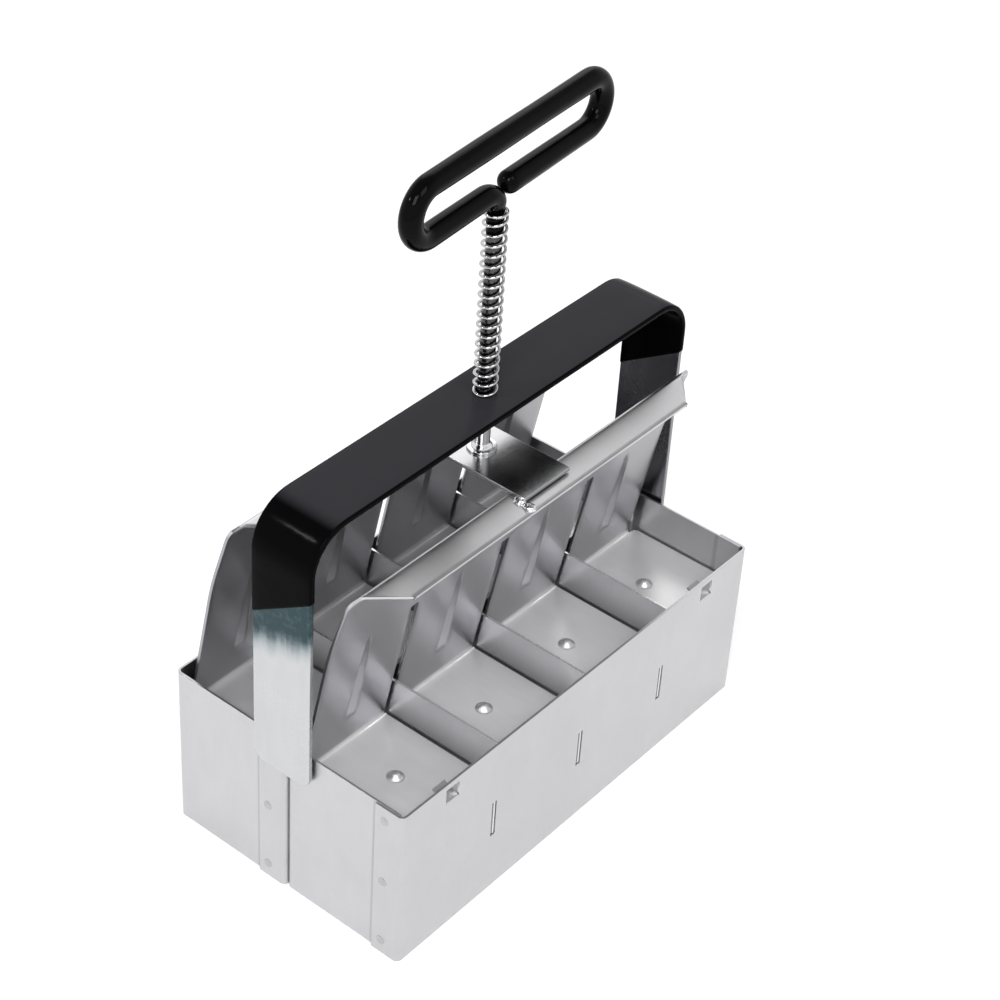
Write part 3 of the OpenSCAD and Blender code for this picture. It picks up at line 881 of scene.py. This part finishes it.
# %% [markdown]
# ## The dipped vinyl on the bail
# The strap was dipped in liquid vinyl at a slant, so the skin ends in a slanting line with a thin
# rolled edge. The skin is a rounded section carried round the bail, out and back again on the inside,
# which makes it a closed shell. Below the bends its rings lean over until they meet the dip line.

# %% The route round the bail
COAT_T = 0.5 * MM
STRAP_T = 2.0 * MM
STRAP_HALF = strap_high.x
STRAP_TOP = strap_high.z
STRAP_W = strap_high.y - strap_low.y
BAIL_BEND = 16.0 * MM
DIP_Z = 139.5 * MM
DIP_SLOPE = tan(radians(33))
EDGE_R = 1.0 * MM
EDGE_FALL = 0.3 * MM
INNER_R = 0.45 * MM


def strap_section(grow, radius, fall=0.0, steps=5, across=12):
    """Points of a rounded rectangle as (out, y). Its broad faces fall away towards their edges."""
    a, b = STRAP_T / 2 + grow, STRAP_W / 2 + grow
    flat = b - radius
    broad = [flat * (1 - 2 * k / across) for k in range(1, across)]

    def face(sign, places):
        return [(sign * (a - fall * (y / b) ** 4), y) for y in places]

    def corner(sx, sy, start):
        sunk = fall * (flat / b) ** 4
        turns = [radians(start + 90 * k / steps) for k in range(steps + 1)]
        return [(sx * (a - sunk - radius) + radius * cos(t), sy * flat + radius * sin(t)) for t in turns]

    points = corner(1, 1, 0) + corner(-1, 1, 90) + face(-1, broad)
    return points + corner(-1, -1, 180) + corner(1, -1, 270) + face(1, reversed(broad))


def bail_stations(arc_steps=14, top_steps=24):
    """Middle of the strap and the way out from it, from the bend of one leg to the other."""
    r = BAIL_BEND + STRAP_T / 2
    mid_x = STRAP_HALF - STRAP_T / 2
    mid_z = STRAP_TOP - STRAP_T / 2
    stations = []
    for k in range(arc_steps + 1):
        a = pi / 2 * k / arc_steps
        out = Vector((-cos(a), 0, sin(a)))
        stations.append((Vector((-(mid_x - r), 0, mid_z - r)) + out * r, out))
    for k in range(1, top_steps):
        x = (mid_x - r) * (2 * k / top_steps - 1)
        stations.append((Vector((x, 0, mid_z)), Vector((0, 0, 1))))
    for k in range(arc_steps + 1):
        a = pi / 2 * (1 - k / arc_steps)
        out = Vector((cos(a), 0, sin(a)))
        stations.append((Vector((mid_x - r, 0, mid_z - r)) + out * r, out))
    return stations


def leg_ring(side, share, section, lift=0.0):
    """A ring on a leg: share is 0 at the bend and 1 at the dip line, where the ring is slanted."""
    bend_z = STRAP_TOP - BAIL_BEND - STRAP_T
    mid_x = STRAP_HALF - STRAP_T / 2
    ring = []
    for out, y in section:
        line = DIP_Z - DIP_SLOPE * y + lift
        ring.append(Vector((side * (mid_x + out), y, bend_z + (line - bend_z) * share)))
    return ring


def grip_rings():
    """Rings of the closed skin: over the bail on the outside and back along the strap."""
    outer = strap_section(COAT_T, EDGE_R, EDGE_FALL)
    inner = strap_section(0.02 * MM, INNER_R)
    lip = [
        strap_section(COAT_T * s, INNER_R + (EDGE_R - INNER_R) * s, EDGE_FALL * s) for s in (0.30, 0.72, 0.95)
    ]
    lifts = (0.05 * MM, 0.22 * MM, 0.6 * MM)
    shares = [k / 8 for k in range(1, 9)]
    rings = []
    for side in (-1, 1):
        leg = [leg_ring(side, s, outer, 1.3 * MM * s) for s in shares]
        edge = [leg_ring(side, 1.0, s, up) for s, up in zip(reversed(lip), reversed(lifts))]
        back = [leg_ring(side, s, inner) for s in reversed([0.0] + shares)]
        rings.append((leg + edge, back))
    over = [[mid + out * o + Vector((0, y, 0)) for o, y in outer] for mid, out in bail_stations()]
    under = [[mid + out * o + Vector((0, y, 0)) for o, y in inner] for mid, out in bail_stations()]
    left, right = rings
    path = list(reversed(left[0])) + over + right[0] + right[1][:-1] + list(reversed(under))
    return path + list(reversed(left[1][:-1]))


# %% Skin the bail and bore the rod's hole
ROD_HOLE_R = 3.4 * MM


def bored(mesh, radius, z_low, z_high):
    """Cuts a round hole on the rod's axis."""
    cutter_bm = bmesh.new()
    spun(cutter_bm, [(0.0, z_low), (radius, z_low), (radius, z_high), (0.0, z_high)], (0, 0, 0), 48)
    cutter = placed("cutter", mesh_from(cutter_bm, "cutter"))
    thing = placed("thing", mesh)
    cut = thing.modifiers.new("hole", "BOOLEAN")
    cut.operation, cut.object, cut.solver = "DIFFERENCE", cutter, "EXACT"
    evaluated = thing.evaluated_get(bpy.context.evaluated_depsgraph_get())
    result = bpy.data.meshes.new_from_object(evaluated)
    for o in (cutter, thing):
        bpy.data.objects.remove(o)
    return result


def bail_skin():
    """The vinyl on the bail, with the rod's hole through it."""
    bm = bmesh.new()
    skinned(bm, grip_rings(), loop=True)
    skin = mesh_from(bm, "bail_grip")
    mesh = bored(skin, ROD_HOLE_R, STRAP_TOP - 2 * STRAP_T, STRAP_TOP + 2 * STRAP_T)
    return settle("bail_grip_skin", mesh, [satin_vinyl], "root", ["bail_grip"], 60)


bail_grip = bail_skin()
print("bail grip faces:", len(bail_grip.data.polygons))

# %% [markdown]
# ## The bridge
# A thin polished plate joins the two flanges and carries the rod. Three tacks of weld hold it, two on
# the front flange and one on the rear. They are lumpy drops, so each is a squashed ball pushed about
# by noise.

# %% Bridge, washers and nut
bridge = softened("bridge_plate", 0.3 * MM, [polished], 3)
washers = [softened(node, 0.18 * MM, [plated], 2) for node in ("rod_washer_upper", "rod_washer_lower")]
lock_nut = softened("lock_nut", 0.35 * MM, [plated], 3)
print("bridge:", bridge.name, lock_nut.name, "and", len(washers), "washers")

# %% Drop the weld tacks
TACK_R = 2.4 * MM
TACK_H = 1.6 * MM
TACK_FOOT = 2.2 * MM
TACK_GAP = 0.4 * MM
TACK_PITCH = 4.8 * MM


def tack(bm, at, seed):
    """One drop of weld: a low dome with a lumpy skin."""
    one = bmesh.new()
    bmesh.ops.create_icosphere(one, subdivisions=4, radius=1.0)
    for v in one.verts:
        lump = 1.0 + 0.24 * noise.noise(v.co * 1.7 + Vector((seed, 0, 0))) + 0.09 * noise.noise(v.co * 4.0)
        up = max(v.co.z, -0.15) * TACK_H
        v.co = Vector((v.co.x * TACK_R * lump, v.co.y * TACK_R * lump, up * lump)) + Vector(at)
    add_part(bm, one)


def tacks():
    """Two beads on the front flange, past the corner of the bridge plate and beside its edge, and one on the rear
    flange, all of one size.
    """
    outer = bridge_low.y - TACK_GAP - TACK_FOOT
    bm = bmesh.new()
    beads = ((-1, outer, 1.0), (-1, outer + TACK_PITCH, 4.0), (1, outer + TACK_PITCH, -4.0))
    for side, y, seed in beads:
        sunk = FLANGE_DROOP * (FOLD_Y - y) / FLANGE_W if side < 0 else 0.0
        tack(bm, (side * (bridge_high.x + 0.15 * MM), -side * y, FLANGE_TOP - sunk), seed)
    mesh = mesh_from(bm, "bridge_tacks")
    return settle("bridge_tack_beads", mesh, [weld], "plunger", ["bridge_tacks"], 80)


weld_tacks = tacks()
print("tacks:", len(weld_tacks.data.polygons), "faces")

# %% [markdown]
# ## The plunger rod and its loop
# One round bar runs from the nut up through the bail, bends over and goes round in a long loop. The
# vinyl on the loop is thicker than on the neck below it, and ends in a round nose against the bend.
# Both the bar and the vinyl are a circle carried along the same path.

# %% The path of the bar
ROD_R = 3.0 * MM
LOOP_R = 4.4 * MM
LOOP_BEND = 9.9 * MM
LOOP_LOW_Z = grip_high.z - LOOP_R - 2 * LOOP_BEND
LOOP_YAW = radians(4.3)
LOOP_SHIFT = 7.0 * MM
LOOP_HALF = 46.5 * MM
NECK_BEND = 8.0 * MM
FREE_END_X = 7.23 * MM


def arc(cx, cz, radius, start, sweep, steps):
    """Points of an arc in the loop's plane, with angles in degrees."""
    turns = [radians(start + sweep * k / steps) for k in range(steps + 1)]
    return [Vector((cx + radius * cos(t), 0, cz + radius * sin(t))) for t in turns]


def loop_line(foot_z, end_x):
    """Points of the bar's middle, in the loop's own plane, from foot_z up to the free end."""
    left, right = LOOP_SHIFT - LOOP_HALF, LOOP_SHIFT + LOOP_HALF
    line = [Vector((0, 0, foot_z)), Vector((0, 0, LOOP_LOW_Z - NECK_BEND - 0.5 * MM))]
    line += arc(-NECK_BEND, LOOP_LOW_Z - NECK_BEND, NECK_BEND, 0, 90, 12)
    line += arc(left, LOOP_LOW_Z + LOOP_BEND, LOOP_BEND, 270, -180, 24)
    line += arc(right, LOOP_LOW_Z + LOOP_BEND, LOOP_BEND, 90, -180, 24)
    line.append(Vector((end_x, 0, LOOP_LOW_Z)))
    return line


def tube_rings(line, radius_at, sides):
    """Circles along a flat line, with the radius that radius_at gives for each length along it."""
    rings = []
    lengths = [0.0]
    for a, b in zip(line, line[1:]):
        lengths.append(lengths[-1] + (b - a).length)
    turn = Matrix.Rotation(LOOP_YAW, 3, "Z")
    for i, point in enumerate(line):
        ahead = (line[min(i + 1, len(line) - 1)] - line[max(i - 1, 0)]).normalized()
        across = Vector((ahead.z, 0, -ahead.x))
        ring = round_section(point, across, Vector((0, 1, 0)), radius_at(lengths[i]), sides)
        rings.append([turn @ p for p in ring])
    return rings


# %% The steel bar
COLLAR_R = 4.1 * MM
COLLAR_H = 2.4 * MM
ROD_SIDES = 40


def bar():
    """The bent bar with its chamfered foot, and the collar on it."""
    bm = bmesh.new()
    foot = rod_low.z
    line = [Vector((0, 0, foot)), Vector((0, 0, foot + 0.5 * MM))] + loop_line(foot + 10 * MM, FREE_END_X)
    skinned(bm, tube_rings(line, lambda at: ROD_R - (0.45 * MM if at < 0.1 * MM else 0.0), ROD_SIDES))
    low = bridge_high.z + 1.0 * MM
    swell = [(low + COLLAR_H * k / 10, smooth(1.0 - k / 10) ** 1.5) for k in range(11)]
    ring = [(ROD_R - 0.1 * MM + (COLLAR_R - ROD_R + 0.1 * MM) * share, z) for z, share in swell]
    collar = [(0.0, low), (COLLAR_R - 0.2 * MM, low)] + ring[1:] + [(0.0, low + COLLAR_H)]
    spun(bm, collar, (0, 0, 0), ROD_SIDES)
    mesh = mesh_from(bm, "plunger_rod")
    return settle("plunger_rod_bar", mesh, [rod_plate], "plunger", ["plunger_rod"], 50)


rod = bar()
print("rod faces:", len(rod.data.polygons))

# %% The vinyl on the loop
NECK_COAT_R = ROD_R + 0.25 * MM
NECK_L = 10.0 * MM


def loop_skin():
    """The vinyl: the bar's path again, with a fatter circle and a round nose at the free end."""
    foot = LOOP_LOW_Z - NECK_BEND - NECK_L
    nose = [k / 8 * pi / 2 for k in range(1, 8)]
    line = divided(loop_line(foot, FREE_END_X), 4.0 * MM)

    def radius_at(at):
        fat = smooth((at - NECK_L) / (5.0 * MM))
        slump = -0.06 * MM * (1 + sin(at * 95)) * fat
        lip = 0.18 * MM if at < 0.3 * MM else 0.0
        return NECK_COAT_R - lip + (LOOP_R - NECK_COAT_R) * fat + slump

    rings = tube_rings(line, radius_at, ROD_SIDES)
    turn = Matrix.Rotation(LOOP_YAW, 3, "Z")
    across, up, back = turn @ Vector((0, 0, 1)), turn @ Vector((0, 1, 0)), turn @ Vector((-1, 0, 0))
    end = turn @ Vector((FREE_END_X, 0, LOOP_LOW_Z))
    for a in nose:
        rings.append(round_section(end + back * (LOOP_R * sin(a)), across, up, LOOP_R * cos(a), ROD_SIDES))
    bm = bmesh.new()
    skinned(bm, rings)
    mesh = mesh_from(bm, "plunger_grip")
    return settle("plunger_grip_skin", mesh, [gloss_vinyl], "plunger", ["plunger_grip"], 80)


loop_grip = loop_skin()
print("loop faces:", len(loop_grip.data.polygons))

# %% [markdown]
# ## The return spring
# The spring is bright round wire that stands on the bail. Its end turns lie flat.

# %% Wind the spring
TURNS = 19
FLAT = 0.55
WIRE_R = 0.6 * MM
COIL_R = 4.2 * MM
RINGS_PER_TURN = 26


def coil_rings():
    """Circles along the helix, which lies flat for part of a turn at each end."""
    foot, head = coil_low.z + WIRE_R, coil_high.z - WIRE_R
    pitch = (head - foot) / (TURNS - 2 * FLAT)
    rings = []
    for i in range(TURNS * RINGS_PER_TURN + 1):
        t = i / RINGS_PER_TURN
        z = foot + pitch * (min(max(t, FLAT), TURNS - FLAT) - FLAT)
        a = 2 * pi * t
        out = Vector((cos(a), sin(a), 0))
        rings.append(round_section(out * COIL_R + Vector((0, 0, z)), out, Vector((0, 0, 1)), WIRE_R, 12))
    return rings


def spring():
    """The wire, standing on the bail."""
    bm = bmesh.new()
    skinned(bm, coil_rings())
    mesh = mesh_from(bm, "return_spring")
    piece = settle("return_spring_wire", mesh, [chrome], "root", ["return_spring"], 80)
    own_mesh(piece)
    return piece


coil = spring()
print("spring faces:", len(coil.data.polygons))

# %% [markdown]
# ## The floor and the light
# The tool stands on a plain white floor. The eye and the metal see the floor and the room as white,
# which costs the object no light of its own, and the floor keeps the object's soft shadow.

# %% Floor
FLOOR_GLOW = 0.30
FLOOR_Z = -0.2 * MM


def lay_floor():
    """A wide plain floor, a hair below the rims."""
    bm = bmesh.new()
    bmesh.ops.create_grid(bm, x_segments=1, y_segments=1, size=6.0)
    mesh = mesh_from(bm, "floor")
    floor = placed("floor", mesh)
    floor.location.z = FLOOR_Z
    f = Finish("white_floor", Roughness=0.9, Emission_Strength=1.0)
    f.set(Base_Color=(0.82, 0.82, 0.82))
    seen = f.ray("Is Camera Ray") + f.ray("Is Glossy Ray") + f.ray("Is Transmission Ray")
    f.set(Emission_Color=f.blend(seen, (0.0, 0.0, 0.0), (FLOOR_GLOW,) * 3))
    mesh.materials.append(f.material)
    return floor


floor = lay_floor()
print("floor laid")

# %% World
ROOM_LIGHT = 0.60
HIGH_LEVEL = 0.30
WHITE_UP_TO = 0.36
DARK_FROM = 0.85


def light_world():
    """White to the eye. Metal sees the same white low down and a dimmer studio high up."""
    world = bpy.data.worlds.new("studio")
    world.use_nodes = True
    bpy.context.scene.world = world
    g = Graph(world.node_tree)
    g.tree.nodes.clear()
    way = g.node("ShaderNodeTexCoord", out="Generated")
    height = g.node("ShaderNodeSeparateXYZ", None, {0: way}, out="Z")
    studio = g.blend(height.span(WHITE_UP_TO, DARK_FROM), (1.0,) * 3, (HIGH_LEVEL,) * 3)
    mirrored = g.ray("Is Glossy Ray") + g.ray("Is Transmission Ray")
    shade = g.blend(mirrored, (ROOM_LIGHT,) * 3, studio)
    shade = g.blend(g.ray("Is Camera Ray"), shade, (1.0,) * 3)
    room = g.node("ShaderNodeBackground", None, {"Color": shade, "Strength": 1.0})
    g.node("ShaderNodeOutputWorld", None, {"Surface": room})


light_world()
print("world:", bpy.context.scene.world.name)


# %% Lamps
def lamp(name, at, size, power, aim=(0.0, 0.0, 0.1)):
    """A square soft lamp that only the object sees."""
    data = bpy.data.lights.new(name, "AREA")
    data.shape, data.size, data.energy = "SQUARE", size, power
    thing = placed(name, data)
    thing.location = at
    thing.rotation_mode = "QUATERNION"
    thing.rotation_quaternion = (Vector(aim) - Vector(at)).to_track_quat("-Z", "Y")
    thing.visible_camera = False
    return thing


lamps = [
    lamp("key", (-1.1, -0.6, 1.5), 0.7, 14.0),
    lamp("back", (1.3, 1.2, 1.5), 1.3, 6.0),
    lamp("front", (-0.10, -0.95, 1.45), 0.6, 4.5),
    lamp("bend", (-1.0, 0.8, 1.2), 0.12, 2.5),
]
view = bpy.context.scene.view_settings
view.view_transform = "Standard"
print("lamps:", len(lamps))
